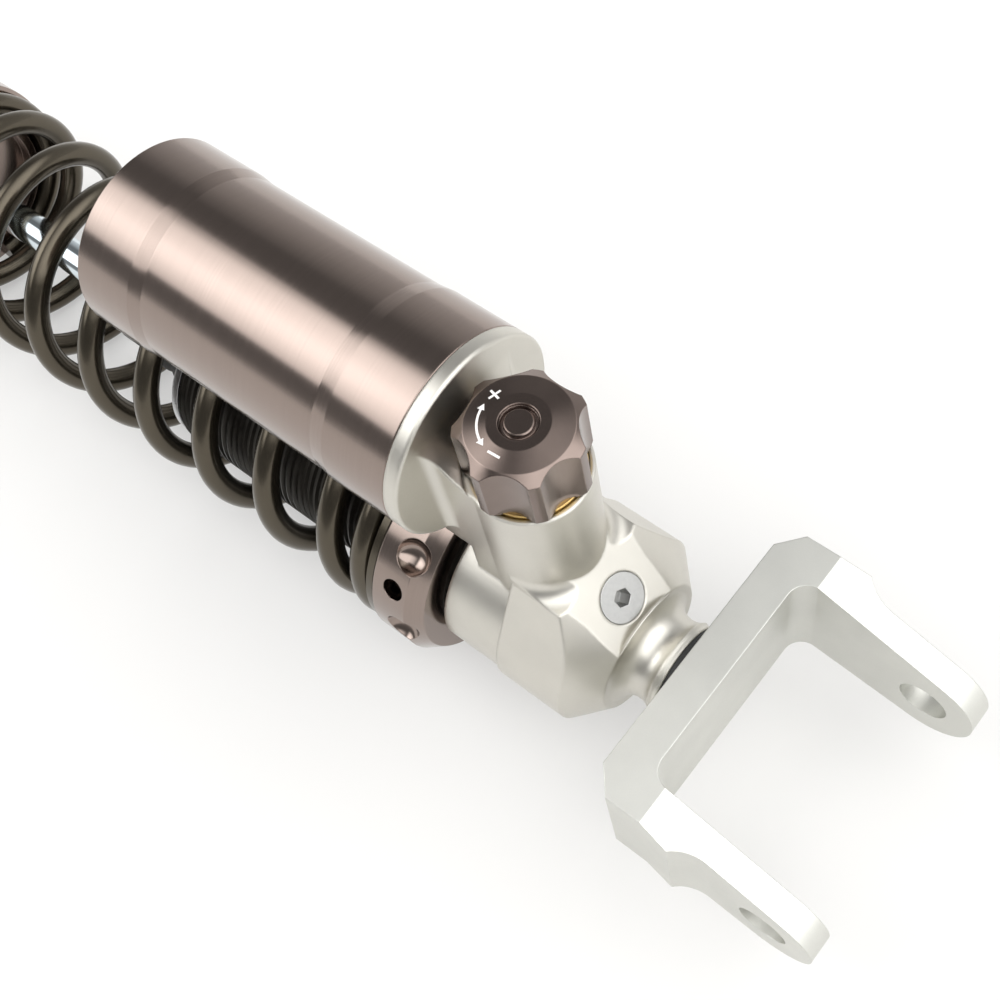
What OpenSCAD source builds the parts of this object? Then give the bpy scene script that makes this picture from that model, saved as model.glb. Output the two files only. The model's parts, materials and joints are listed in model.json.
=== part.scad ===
// Rear shock absorber for a scooter: coil spring on a threaded damper, a side-by-side
// gas reservoir with a fluted adjuster knob, and a fork for the lower bolt.
// Millimetres. +X runs along the damper axis from the upper eye to the fork, +Z towards the
// reservoir. The origin is the centre of the fork's bolt hole. Inside the file every piece is
// drawn on the damper axis, with X = 0 at the reservoir's joint face, and in_place() moves it.

/* [Whole shock] */
// Distance from the upper eye to the fork's bolt hole
eye_to_bolt = 364; // [362:1:372]
// Distance from the reservoir's joint face to the fork's bolt hole
bolt_x = 104.6; // [102:0.1:110]
// Distance of the bolt hole below the damper axis
bolt_drop = 8.5; // [6:0.5:9]
// Length that the rod can travel
stroke = 70; // [62:1:72]

/* [Damper] */
// Outer diameter of the threaded tube
tube_od = 45; // [43:0.5:45.5]
// Wall of the damper tube
tube_wall = 4.5; // [3.5:0.25:5.5]
// Distance that the tube reaches behind the joint face
tube_back = 95; // [92:1:97]
// Diameter of the piston rod
rod_d = 10; // [9:0.5:11]
// Length of the rod guide inside the tube
guide_length = 17; // [15:1:18]
// Thickness of the rod guide's lip
guide_lip = 3; // [2:0.5:4]
// Length of the piston
piston_length = 12; // [10:1:13]
// Length of the bump stop
bump_length = 38; // [28:1:40]
// Outer diameter of the bump stop
bump_od = 25; // [22:0.5:26]

/* [Spring] */
// Outer diameter of the spring
spring_od = 64; // [62:0.5:64.4]
// Diameter of the spring wire
wire_d = 7; // [6:0.25:7.25]
// Distance from one free coil to the next
coil_pitch = 22.6; // [20:0.1:25]
// Station of the face that carries the spring's front end
spring_front = 16; // [15.6:0.1:17]
// Thickness of the spring washer
washer_thickness = 2; // [1.4:0.1:2.4]
// Outer diameter of the preload ring
ring_od = 65; // [63:0.5:65]
// Length of the preload ring
ring_length = 15; // [13:0.5:15.5]
// Number of spanner dimples round the preload ring
ring_dimples = 8; // [6:1:10]

/* [Reservoir] */
// Outer diameter of the reservoir
reservoir_od = 50; // [48:0.5:50]
// Length of the reservoir tube
reservoir_length = 97.7; // [90:0.1:105]
// Bore of the reservoir
reservoir_bore = 43; // [41:0.5:44]
// Distance from the damper axis to the reservoir axis
reservoir_offset = 58; // [58:0.5:60]
// Depth of the waist turned into the reservoir
waist_depth = 0.5; // [0.2:0.1:1]

/* [Adjuster] */
// Distance of the knob axis in front of the joint face
knob_x = 20; // [19.5:0.1:20.5]
// Diameter over the knob's ridges
knob_d = 28.6; // [27:0.1:29]
// Height of the knob
knob_height = 18; // [15:0.1:19]
// Number of flutes round the knob
knob_flutes = 7; // [5:1:10]
// Height of the boss top above the damper axis
boss_top = 61.5; // [60:0.1:63]
// Outer diameter of the boss
boss_d = 28.6; // [28:0.1:29]

/* [Fork] */
// Clear width between the fork's arms
fork_gap = 58.4; // [54:0.1:60]
// Thickness of each arm at the bolt hole
arm_thickness = 7.1; // [6:0.1:8]
// Thickness of the bridge
bridge_thickness = 9.9; // [8:0.1:12]
// Width across the bridge
bridge_width = 77.7; // [77.2:0.1:79]
// Height of the bridge
bridge_height = 33.6; // [30:0.1:36]
// Radius of each arm's round end
arm_end_radius = 13; // [11:0.1:14]
// Diameter of the bolt hole
bolt_d = 12.4; // [10:0.1:14]

/* [Upper eye] */
// Outer diameter of the eye
eye_od = 32; // [30:0.5:36]
// Width of the eye
eye_width = 22; // [20:0.5:26]
// Outer diameter of the rubber bush
bush_od = 24; // [22:0.5:25]
// Outer diameter of the steel sleeve
sleeve_od = 16; // [14:0.5:18]
// Bore of the steel sleeve
sleeve_bore = 10.4; // [8:0.1:12]
// Length of the steel sleeve
sleeve_length = 28; // [26:0.5:34]

/* [Fits] */
// Gap between pieces that screw, press or seat together
seat_gap = 0.05; // [0.02:0.01:0.1]
// Radial gap of pieces that slide or turn
run_gap = 0.06; // [0.03:0.01:0.09]
// Gap that keeps separate moving pieces apart
clear_gap = 0.3; // [0.2:0.05:0.5]

/* [Hidden] */
$fn = 64;

// Stations along the damper axis
eye_x = bolt_x - eye_to_bolt;
collar_x = 3.3;
block_x = 20.5;
bore_end_x = 14;
cone_x = 39.2;
neck_x = 47;
neck_flare_x = 56.1;
neck_end_x = 57.3;
bridge_x = 59.9;
arm_x = bridge_x + bridge_thickness;
taper_x = 74.25;
guide_x = -tube_back;

// Radii about the damper axis
tube_r = tube_od / 2;
bore_r = tube_r - tube_wall;
chamber_r = bore_r - 4;
rod_r = rod_d / 2;
collar_r = tube_r + 2.1;
block_r = collar_r + 0.9;
cone_end_r = 17.5;
neck_r = 12.1;
spring_r = spring_od / 2;
wire_r = wire_d / 2;
ring_r = ring_od / 2;
arch_r = ring_r + 1.5;

// Head
saddle_half_width = boss_d / 2 - 0.1;
saddle_top = 28;
saddle_fillet = 5;
web_half_width = 13;
web_fillet = 3;
web_top_fillet = 12;
flange_thickness = 3.6;
flange_chamfer = 0.5;
plug_x = 41;
plug_z = 21.1;
plug_tilt = atan2(0.76, 0.65);
plug_r = 6.1;
plug_head = 2.6;
plug_thread_r = 4;
plug_depth = 9;
plug_drill_r = 1.5;
plug_drill_depth = 21;
plug_hex = 4;
plug_hex_depth = 4;
shank_r = 8;
shank_back = 41;
hollow_x = neck_x + 5.2;
hollow_mid_r = neck_r + 4.4;
hollow_r = 5.3;
throat_r = 2.5;

// Reservoir
reservoir_r = reservoir_od / 2;
res_bore_r = reservoir_bore / 2;
spigot_length = 9;
spigot_groove = 5;
oring_d = 2;
waist_start = 22;
waist_end = 76;
waist_slope = 4;
cap_length = 10;
cap_recess = 6;
clip_thickness = 1.4;
cap_x = cap_recess - reservoir_length;
clip_x = cap_x - clip_thickness - 0.1;
float_length = 18;
float_x = -58;
float_dish = 4;
valve_r = 4;
valve_flange_r = 5.5;
valve_flange = 1.5;
valve_tip_r = 3.8;
valve_tip = 3.8;
valve_bore_r = 1.5;

// Adjuster
knob_r = knob_d / 2;
knob_z = boss_top + 0.5;
knob_top = knob_z + knob_height;
knob_flat_r = 6.7;
knob_face_r = 11.6;
knob_crown = 0.9;
knob_cone = 1.9;
knob_turn = -143;
flute_r = 10;
flute_depth_r = 12;
dish_r = 4.4;
disc_r = 12.5;
disc_thickness = 1.6;
boss_lip = 0.9;
boss_bevel = 0.3;
seat_z = 24;
seat_height = 1.5;
seat_hole_r = 1.7;
needle_r = 4;
needle_bottom = seat_z + 2.2;
needle_length = 13;
needle_top = needle_bottom + needle_length;
needle_cone = 4;
needle_bore_depth = 9;
needle_travel = 1.5;
stem_r = 4;
stem_bottom = needle_top + needle_travel + 1;
stem_tip_r = 1.8;
stem_tip_z = needle_top - needle_bore_depth + needle_travel + 0.6;
stem_top = knob_top - 6;
stem_upper_r = 3;
stem_seal_z = 53;
gallery_z = 45;
gallery_r = 3;
passage_x = knob_x - 8;
passage_z = needle_bottom + 1.6;
passage_r = 2.2;

// Rod guide
wiper_r = rod_r + 3.4;
wiper_lip = 1.2;
rod_seal_r = rod_r + 3;
rod_seal_end = 7;

// Lower spring seat
ring_front_x = washer_thickness + ring_length - spring_front;
grub_r = 3;
grub_turn = 62;
dimple_turn = 41.7;
dimple_r = 5.2;
dimple_out = 1.6;

// Upper end
bump_reserve = 9;
spring_rear_x = guide_x - guide_lip - bump_length - bump_reserve - stroke;
seat_flange = 9;
seat_hub = 5;
hub_r = 20;
seat_back_x = spring_rear_x - seat_flange - seat_hub;
lock_nut_length = 6;
lock_nut_flats = 17;
eye_neck_x = seat_back_x - lock_nut_length;
eye_neck_r = 10;
rod_rear_x = eye_x + eye_od / 2 - 2;
piston_x = guide_x + guide_length + 4;
shim_stack = 1.6;
shim_shrink = 2;
band_depth = 1.6;
band_edge = 3;
port_place_r = bore_r - 7.5;
port_r = 2;
nut_length = 6;
nut_flats = 13;
rod_front_x = piston_x + piston_length + 2 * shim_stack + nut_length;
chamber_end_x = rod_front_x + stroke + 10;
piston_stem_r = 4;

module in_place() translate([-bolt_x, 0, bolt_drop]) children();

// A profile of [radius, station] points turned about the X axis
module turned(profile) rotate([0, 90, 0]) rotate_extrude() polygon(profile);

// A cylinder along X from one station to another
module rod_x(r, x0, x1) translate([x0, 0, 0]) rotate([0, 90, 0]) cylinder(r = r, h = x1 - x0);

// A ring along X
module ring_x(r_out, r_in, x0, x1) difference() {
    rod_x(r_out, x0, x1);
    rod_x(r_in, x0 - 1, x1 + 1);
}

// A round seal lying in a groove about the X axis
module seal_x(r_mid, r_section, x) translate([x, 0, 0]) rotate([0, 90, 0])
    rotate_extrude() translate([r_mid, 0]) circle(r = r_section, $fn = 24);

// A round seal about the Z axis
module seal_z(r_mid, r_section, z) translate([0, 0, z])
    rotate_extrude() translate([r_mid, 0]) circle(r = r_section, $fn = 24);

module on_reservoir() translate([0, 0, reservoir_offset]) children();

module on_knob() translate([knob_x, 0, 0]) children();

// Places its children on the plug's facet, with Z pointing out of it
module on_plug() translate([plug_x, 0, plug_z]) rotate([0, plug_tilt, 0]) children();

// Head: flange, web, boss, collar and faceted block

module flange_disc() on_reservoir() turned([[0, 0], [reservoir_r, 0],
    [reservoir_r, flange_thickness - flange_chamfer],
    [reservoir_r - flange_chamfer, flange_thickness], [0, flange_thickness]]);

module spigot() on_reservoir() difference() {
    rod_x(res_bore_r - seat_gap, -spigot_length, 0.5);
    seal_x(res_bore_r - oring_d / 2, oring_d / 2 + 0.1, -spigot_groove);
    rod_x(res_bore_r - 5, -spigot_length - 1, -2);
}

// Side view of the web, with a hollow fillet up to the flange
module web_side() difference() {
    translate([0.5, 10]) square([knob_x - 0.5, boss_top + web_top_fillet - 10]);
    translate([flange_thickness + web_top_fillet, boss_top + web_top_fillet])
        circle(r = web_top_fillet);
    translate([flange_thickness + web_top_fillet, boss_top]) square(2 * web_top_fillet);
}

module web(half_width) rotate([90, 0, 0]) translate([0, 0, -half_width])
    linear_extrude(2 * half_width) web_side();

// Hollow fillets where the web's sides meet the flange
module web_fillets() for (side = [-1, 1])
    intersection() {
        web(web_half_width + web_fillet);
        translate([0, 0, reservoir_offset - reservoir_r + 1]) linear_extrude(2 * reservoir_r)
            difference() {
                translate([1, side * (web_half_width + web_fillet / 2)])
                    square([2 * (flange_thickness + web_fillet) - 2, web_fillet], center = true);
                translate([flange_thickness + web_fillet, side * (web_half_width + web_fillet)])
                    circle(r = web_fillet);
            }
        on_reservoir() rod_x(reservoir_r - 1, 0, 20);
    }

module boss() on_knob() {
    cylinder(r = boss_d / 2 - 0.4, h = boss_top - boss_bevel);
    translate([0, 0, boss_top - boss_bevel])
        cylinder(r1 = boss_d / 2 - 0.4, r2 = boss_d / 2 - 0.4 - boss_bevel, h = boss_bevel);
}

// The block behind the neck: round below, with a flat saddle under the boss
module block_outline() {
    circle(r = block_r);
    saddle_flank();
}

// The saddle's flanks run from its corners to where they touch the round
module saddle_flank() {
    reach = norm([saddle_half_width, saddle_top]);
    turn = acos(block_r / reach);
    corner = atan2(saddle_top, saddle_half_width);
    touch = corner - turn;
    polygon([[0, 0], [block_r * cos(touch), block_r * sin(touch)],
        [saddle_half_width, saddle_top], [-saddle_half_width, saddle_top],
        [-block_r * cos(touch), block_r * sin(touch)]]);
}

module block() intersection() {
    translate([block_x, 0, 0]) rotate([90, 0, 90]) linear_extrude(neck_x - block_x)
        block_outline();
    turned([[0, 0], [60, 0], [60, 10], [block_r, cone_x + 0.2], [cone_end_r, neck_x],
        [0, neck_x]]);
    on_plug() translate([-60, -60, -120]) cube([120, 120, 120]);
}

// Hollow fillet from the boss onto the saddle, cut off by the plug's facet
module boss_fillet() intersection() {
    on_knob() rotate_extrude() difference() {
        translate([0, saddle_top - 1]) square([boss_d / 2 + saddle_fillet, saddle_fillet + 1]);
        translate([boss_d / 2 - 0.4 + saddle_fillet, saddle_top + saddle_fillet])
            circle(r = saddle_fillet);
    }
    translate([block_x, -saddle_half_width, 0])
        cube([40, 2 * saddle_half_width, saddle_top + saddle_fillet]);
    on_plug() translate([-60, -60, -120]) cube([120, 120, 120]);
}

// The waist between block and fork, turned with a hollow
module neck() difference() {
    turned([[0, neck_x - 5], [cone_end_r, neck_x - 0.01], [cone_end_r, neck_x],
        [neck_r, neck_flare_x], [neck_r, neck_end_x], [0, neck_end_x]]);
    translate([hollow_x, 0, 0]) rotate([0, 90, 0]) rotate_extrude()
        translate([hollow_mid_r, 0]) circle(r = hollow_r);
}

module head() color("silver") in_place() difference() {
    union() {
        flange_disc();
        spigot();
        web(web_half_width);
        web_fillets();
        boss();
        rod_x(collar_r, collar_x, block_x + 1);
        block();
        boss_fillet();
        neck();
    }
    // pocket for the knob in the web and the flange
    on_knob() translate([0, 0, boss_top]) cylinder(r = knob_r + clear_gap, h = 2 * knob_height);
    // room for the preload ring under the flange
    rod_x(arch_r, -1, collar_x);
    rotate([0, 90, 0]) difference() {
        translate([0, 0, collar_x - 1]) cylinder(r = arch_r, h = 6);
        translate([0, 0, collar_x - 2]) cylinder(r = collar_r, h = 8);
    }
    // damper bore and the chamber behind it
    rod_x(tube_r + seat_gap, 0, bore_end_x);
    turned([[0, bore_end_x - 1], [chamber_r, bore_end_x - 1], [chamber_r, chamber_end_x - 4],
        [chamber_r - 4, chamber_end_x], [0, chamber_end_x]]);
    // adjuster bore, stepped, down to the chamber
    on_knob() {
        translate([0, 0, boss_top - boss_lip]) cylinder(r = disc_r + clear_gap, h = 5);
        translate([0, 0, seat_z]) cylinder(r = needle_r + run_gap, h = 60);
        cylinder(r = throat_r, h = seat_z + 1);
        seal_z(stem_r + 0.6, oring_d / 2, stem_seal_z);
    }
    // gallery from the needle to the reservoir
    translate([-spigot_length - 1, 0, gallery_z])
        rotate([0, 90, 0]) cylinder(r = gallery_r, h = passage_x + spigot_length + 1);
    translate([passage_x, 0, passage_z]) cylinder(r = passage_r, h = gallery_z - passage_z);
    translate([passage_x, 0, passage_z]) rotate([0, 90, 0])
        cylinder(r = passage_r - 0.6, h = knob_x - passage_x);
    // plug hole
    on_plug() {
        translate([0, 0, -plug_head]) cylinder(r = plug_r + 0.12, h = 3 * plug_head);
        translate([0, 0, -plug_depth - plug_head])
            cylinder(r = plug_thread_r + seat_gap, h = plug_depth + 2 * plug_head);
        translate([0, 0, -plug_drill_depth]) cylinder(r = plug_drill_r, h = plug_drill_depth);
    }
    // bore for the fork's shank
    rod_x(shank_r + run_gap, shank_back - 1.5, neck_end_x + 1);
}

module damper_tube() color([0.12, 0.12, 0.12]) in_place()
    turned([[bore_r, -tube_back], [tube_r - 0.8, -tube_back], [tube_r, 0.8 - tube_back],
        [tube_r, bore_end_x], [bore_r, bore_end_x]]);

module rod_guide() color("dimgray") in_place() difference() {
    turned([[0, guide_x - guide_lip], [tube_r - 1.5, guide_x - guide_lip],
        [tube_r - 0.6, guide_x - guide_lip + 1], [tube_r - 0.6, guide_x],
        [bore_r - seat_gap, guide_x], [bore_r - seat_gap, guide_x + guide_length],
        [0, guide_x + guide_length]]);
    rod_x(rod_r + run_gap, guide_x - 10, guide_x + guide_length + 1);
    rod_x(wiper_r + 0.1, guide_x - guide_lip - 1, guide_x + 1.5);
    rod_x(rod_seal_r, guide_x + 1.4, guide_x + rod_seal_end);
}

module dust_wiper() color([0.1, 0.1, 0.1]) in_place()
    turned([[rod_r + 0.04, guide_x - guide_lip - wiper_lip],
        [rod_r + 1.2, guide_x - guide_lip - wiper_lip], [wiper_r, guide_x - guide_lip],
        [wiper_r, guide_x + 1.5], [rod_r + 0.5, guide_x + 1.5],
        [rod_r + 0.5, guide_x - guide_lip + 1], [rod_r + 0.04, guide_x - guide_lip + 0.6]]);

module rod_seal() color([0.15, 0.12, 0.1]) in_place()
    ring_x(rod_seal_r - 0.1, rod_r + 0.04, guide_x + 2, guide_x + rod_seal_end - 0.1);

// Reservoir

module reservoir_tube() color([0.6, 0.52, 0.48]) in_place() on_reservoir() difference() {
    turned([[res_bore_r, -reservoir_length], [reservoir_r - 0.6, -reservoir_length],
        [reservoir_r, 0.6 - reservoir_length], [reservoir_r, -waist_end - waist_slope],
        [reservoir_r - waist_depth, -waist_end], [reservoir_r - waist_depth, -waist_start],
        [reservoir_r, waist_slope - waist_start], [reservoir_r, -0.3],
        [reservoir_r - 0.3, -seat_gap], [res_bore_r, -seat_gap]]);
    // groove for the end cap's clip
    ring_x(res_bore_r + 0.8, res_bore_r - 2, clip_x, clip_x + clip_thickness + 0.1);
}

module reservoir_oring() color([0.1, 0.1, 0.1]) in_place() on_reservoir()
    seal_x(res_bore_r - oring_d / 2 - 0.05, oring_d / 2 - 0.02, -spigot_groove);

module end_cap() color([0.6, 0.52, 0.48]) in_place() on_reservoir() difference() {
    turned([[0, cap_x], [res_bore_r - 5, cap_x], [res_bore_r - 5, cap_x - 1.5],
        [res_bore_r - 3.2, cap_x - 1.5], [res_bore_r - 3.2, cap_x],
        [res_bore_r - seat_gap, cap_x], [res_bore_r - seat_gap, cap_x + cap_length],
        [0, cap_x + cap_length]]);
    seal_x(res_bore_r - oring_d / 2, oring_d / 2 + 0.1, cap_x + cap_length / 2);
    rod_x(valve_r + seat_gap, cap_x - 1, cap_x + cap_length + 1);
}

module end_cap_oring() color([0.1, 0.1, 0.1]) in_place() on_reservoir()
    seal_x(res_bore_r - oring_d / 2 - 0.05, oring_d / 2 - 0.02, cap_x + cap_length / 2);

module end_cap_clip() color("gray") in_place() on_reservoir() difference() {
    ring_x(res_bore_r + 0.7, res_bore_r - 2, clip_x + 0.05, clip_x + clip_thickness + 0.05);
    translate([clip_x - 1, -3, 0]) cube([4, 6, 40]);
}

module gas_valve() color("goldenrod") in_place() on_reservoir() difference() {
    union() {
        rod_x(valve_r, cap_x, cap_x + cap_length);
        rod_x(valve_flange_r, cap_x - valve_flange, cap_x);
        rod_x(valve_tip_r, cap_x - valve_tip, cap_x);
    }
    rod_x(valve_bore_r, cap_x - valve_tip - 1, cap_x + cap_length + 1);
}

module valve_cap() color([0.15, 0.15, 0.15]) in_place() on_reservoir() difference() {
    turned([[0, cap_x - valve_tip - 1.8], [valve_tip_r + 0.2, cap_x - valve_tip - 1.8],
        [valve_tip_r + 1, cap_x - valve_tip - 1],
        [valve_tip_r + 1, cap_x - valve_flange - seat_gap],
        [0, cap_x - valve_flange - seat_gap]]);
    rod_x(valve_tip_r + seat_gap, cap_x - valve_tip - 0.4, cap_x);
}

module floating_piston() color("silver") in_place() on_reservoir() difference() {
    turned([[0, float_x + float_dish], [res_bore_r - 5, float_x + float_dish],
        [res_bore_r - 5, float_x],
        [res_bore_r - run_gap, float_x], [res_bore_r - run_gap, float_x + float_length],
        [res_bore_r - 5, float_x + float_length], [res_bore_r - 7, float_x + float_length - 3],
        [0, float_x + float_length - 3]]);
    seal_x(res_bore_r - oring_d / 2, oring_d / 2 + 0.1, float_x + float_length / 2);
}

module floating_piston_oring() color([0.1, 0.1, 0.1]) in_place() on_reservoir()
    seal_x(res_bore_r - oring_d / 2 - 0.06, oring_d / 2 - 0.02, float_x + float_length / 2);

// Plug on the head's facet

module side_plug() color("silver") in_place() on_plug() difference() {
    union() {
        translate([0, 0, -plug_head]) cylinder(r = plug_r, h = plug_head);
        translate([0, 0, -plug_depth]) cylinder(r = plug_thread_r, h = plug_depth - 1);
    }
    translate([0, 0, -plug_hex_depth])
        cylinder(d = plug_hex / cos(30), h = plug_hex_depth + 1, $fn = 6);
    seal_z(plug_thread_r, 0.8, -plug_head - 0.8);
}

module plug_seal() color([0.1, 0.1, 0.1]) in_place() on_plug() intersection() {
    seal_z(plug_thread_r, 0.75, -plug_head - 0.8);
    translate([0, 0, -plug_depth]) cylinder(r = plug_thread_r, h = plug_depth);
}

// Adjuster

module fluted_outline(r) difference() {
    circle(r = r);
    for (i = [0:knob_flutes - 1])
        rotate(knob_turn + (i + 0.5) * 360 / knob_flutes)
            translate([flute_depth_r + flute_r, 0]) circle(r = flute_r);
}

module adjuster_knob() color([0.42, 0.36, 0.34]) in_place() on_knob() difference() {
    intersection() {
        translate([0, 0, knob_z]) linear_extrude(knob_height) fluted_outline(knob_r);
        rotate_extrude() polygon([[0, knob_z], [knob_r - 0.7, knob_z], [knob_r, knob_z + 0.7],
            [knob_r, knob_top - knob_crown - knob_cone], [knob_face_r, knob_top - knob_crown],
            [knob_flat_r, knob_top], [0, knob_top]]);
    }
    // dish in the face, hole for the cap and socket for the stem
    translate([0, 0, knob_top - 0.5]) cylinder(r1 = dish_r - 0.3, r2 = dish_r + 0.3, h = 1);
    translate([0, 0, knob_top - 6]) cylinder(r = dish_r - 0.4, h = 10);
    translate([0, 0, knob_z - 1]) cylinder(r = stem_upper_r + seat_gap, h = knob_height);
    translate([0, 0, knob_z - 1]) cylinder(r = disc_r + 0.1, h = 1.5 + seat_gap);
}

module knob_cap() color([0.35, 0.3, 0.28]) in_place() on_knob() translate([0, 0, knob_top])
    rotate_extrude() polygon([[0, -5], [dish_r - 0.45, -5], [dish_r - 0.45, -1.2],
        [dish_r - 1.1, -1.2], [dish_r - 1.1, -0.3], [dish_r - 1.4, 0], [0, 0]]);

module adjuster_disc() color("goldenrod") in_place() on_knob() difference() {
    translate([0, 0, knob_z + 0.5 - disc_thickness]) cylinder(r = disc_r, h = disc_thickness);
    translate([0, 0, knob_z - 5]) cylinder(r = stem_upper_r + seat_gap, h = 10);
}

module adjuster_stem() color("goldenrod") in_place() on_knob() difference() {
    union() {
        translate([0, 0, knob_z - 2]) cylinder(r = stem_upper_r, h = stem_top - knob_z + 2);
        translate([0, 0, stem_bottom])
            cylinder(r = stem_r, h = knob_z + 0.4 - disc_thickness - stem_bottom);
        translate([0, 0, stem_tip_z]) cylinder(r = stem_tip_r, h = stem_bottom - stem_tip_z + 1);
    }
    seal_z(stem_r + 0.6, oring_d / 2, stem_seal_z);
}

module stem_oring() color([0.1, 0.1, 0.1]) in_place() on_knob()
    seal_z(stem_r + 0.6, oring_d / 2 - 0.05, stem_seal_z);

module adjuster_needle() color("silver") in_place() on_knob() difference() {
    rotate_extrude() polygon([[0, needle_bottom], [1.2, needle_bottom + 0.4],
        [needle_r, needle_bottom + needle_cone], [needle_r, needle_top], [0, needle_top]]);
    translate([0, 0, needle_top - needle_bore_depth + 0.3])
        cylinder(r = stem_tip_r + run_gap, h = needle_bore_depth);
}

module needle_seat() color("goldenrod") in_place() on_knob() difference() {
    translate([0, 0, seat_z]) cylinder(r = needle_r + run_gap - seat_gap, h = seat_height);
    cylinder(r = seat_hole_r, h = 2 * seat_z);
}

// Preload ring and spring

module preload_ring() color([0.6, 0.52, 0.48]) in_place() difference() {
    turned([[tube_r + run_gap, ring_front_x - ring_length], [ring_r - 0.8,
        ring_front_x - ring_length], [ring_r, ring_front_x - ring_length + 0.8],
        [ring_r, ring_front_x - 4], [ring_r - 3, ring_front_x], [tube_r + run_gap,
        ring_front_x]]);
    for (i = [0:ring_dimples - 1]) rotate([dimple_turn + i * 360 / ring_dimples, 0, 0])
        translate([ring_front_x - 5, 0, ring_r + dimple_out]) sphere(r = dimple_r);
    rotate([grub_turn, 0, 0]) translate([ring_front_x - 8, 0, tube_r - 1])
        cylinder(r = grub_r, h = 20);
}

module ring_grub_screw() color([0.2, 0.2, 0.2]) in_place() rotate([grub_turn, 0, 0])
    translate([ring_front_x - 8, 0, tube_r + run_gap]) difference() {
        cylinder(r = grub_r - seat_gap, h = 5);
        translate([0, 0, 2.5]) cylinder(d = grub_r / cos(30), h = 5, $fn = 6);
    }

module spring_washer() color([0.5, 0.47, 0.4]) in_place()
    ring_x(spring_r - 0.2, tube_r + run_gap, -spring_front, washer_thickness - spring_front);

// The spring is one tube swept along its coil: ground ends, then an even pitch
dead_turns = 0.75;
ramp_turns = 0.5;
dead_pitch = wire_d + 0.45;
ground_depth = 1.5;
spring_length = -spring_front - spring_rear_x - wire_d + 2 * ground_depth;
end_travel = dead_pitch * dead_turns + (dead_pitch + coil_pitch) / 2 * ramp_turns;
free_turns = (spring_length - 2 * end_travel) / coil_pitch;
turns = free_turns + 2 * (dead_turns + ramp_turns);
start_angle = 252;
rings_per_turn = 24;
wire_sides = 8;
mean_r = spring_r - wire_r;
ring_count = ceil(turns * rings_per_turn);

// Distance along the axis after t turns from one end
function end_rise(t) = t <= dead_turns ? dead_pitch * t
    : dead_pitch * t + (coil_pitch - dead_pitch) / ramp_turns / 2 * pow(t - dead_turns, 2);
function rise(t) = t <= dead_turns + ramp_turns ? end_rise(t)
    : t >= turns - dead_turns - ramp_turns ? spring_length - end_rise(turns - t)
    : end_travel + coil_pitch * (t - dead_turns - ramp_turns);
function coil_point(t, r) = let(a = start_angle - 360 * t)
    [ground_depth - spring_front - wire_r - rise(t), r * cos(a), r * sin(a)];
// A ring of the tube, ground flat where it would pass its seat
function seated(x) = min(max(x, spring_rear_x + 0.05), -spring_front - 0.05);
function coil_ring(t) = let(a = start_angle - 360 * t, c = coil_point(t, mean_r))
    [for (k = [0:wire_sides - 1]) let(b = (k + 0.5) * 360 / wire_sides,
        q = mean_r + wire_r * cos(b)) [seated(c[0] + wire_r * sin(b)), q * cos(a), q * sin(a)]];
spring_points = [for (i = [0:ring_count]) each coil_ring(i * turns / ring_count)];
spring_faces = concat(
    [for (i = [0:ring_count - 1], k = [0:wire_sides - 1])
        let(n = wire_sides, k2 = (k + 1) % n) each [
            [i * n + k, (i + 1) * n + k, i * n + k2],
            [i * n + k2, (i + 1) * n + k, (i + 1) * n + k2]]],
    [for (k = [1:wire_sides - 2]) each [[0, k, k + 1],
        [ring_count * wire_sides, ring_count * wire_sides + k + 1,
            ring_count * wire_sides + k]]]);

// Least gap between the wire and its next coil, measured on points of the coil
coil_gap = min([for (i = [0:8:ring_count - rings_per_turn - 4]) let(t = i * turns / ring_count)
    min([for (j = [-4:4]) norm(coil_point(t, mean_r) -
        coil_point(t + 1 + j / rings_per_turn, mean_r))])]) - wire_d;

module main_spring() {
    echo(least_gap_between_coils = coil_gap);
    color([0.45, 0.43, 0.38]) in_place()
        polyhedron(points = spring_points, faces = spring_faces);
}

// Rod, piston and what they carry

module piston_rod() color("lightgray") in_place() turned([[0, rod_rear_x],
    [rod_r - 1, rod_rear_x], [rod_r, rod_rear_x + 1], [rod_r, piston_x - shim_stack],
    [piston_stem_r, piston_x - shim_stack], [piston_stem_r, rod_front_x], [0, rod_front_x]]);

module piston() color("dimgray") in_place() difference() {
    ring_x(bore_r - run_gap, piston_stem_r + seat_gap, piston_x, piston_x + piston_length);
    ring_x(bore_r + 1, bore_r - band_depth, piston_x + band_edge,
        piston_x + piston_length - band_edge);
    for (i = [0:5]) rotate([i * 60, 0, 0]) translate([piston_x - 1, 0, port_place_r])
        rotate([0, 90, 0]) cylinder(r = port_r, h = piston_length + 2);
}

module piston_band() color([0.35, 0.25, 0.15]) in_place() ring_x(bore_r - run_gap,
    bore_r - band_depth + seat_gap, piston_x + band_edge + seat_gap,
    piston_x + piston_length - band_edge - seat_gap);

// A stack of thin discs, each smaller than the one before
module shims(x, way) for (i = [0:3]) let(step = shim_stack / 4,
    start = way > 0 ? x + i * step : x - (i + 1) * step)
    ring_x(bore_r - 4 - shim_shrink * i, piston_stem_r + seat_gap, start, start + step);

module compression_shims() color("silver") in_place() shims(piston_x, -1);

module rebound_shims() color("silver") in_place() shims(piston_x + piston_length, 1);

module piston_nut() color("gray") in_place() difference() {
    translate([piston_x + piston_length + shim_stack, 0, 0]) rotate([0, 90, 0])
        cylinder(d = nut_flats / cos(30), h = nut_length, $fn = 6);
    rod_x(piston_stem_r + seat_gap, piston_x, chamber_end_x);
}

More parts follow.
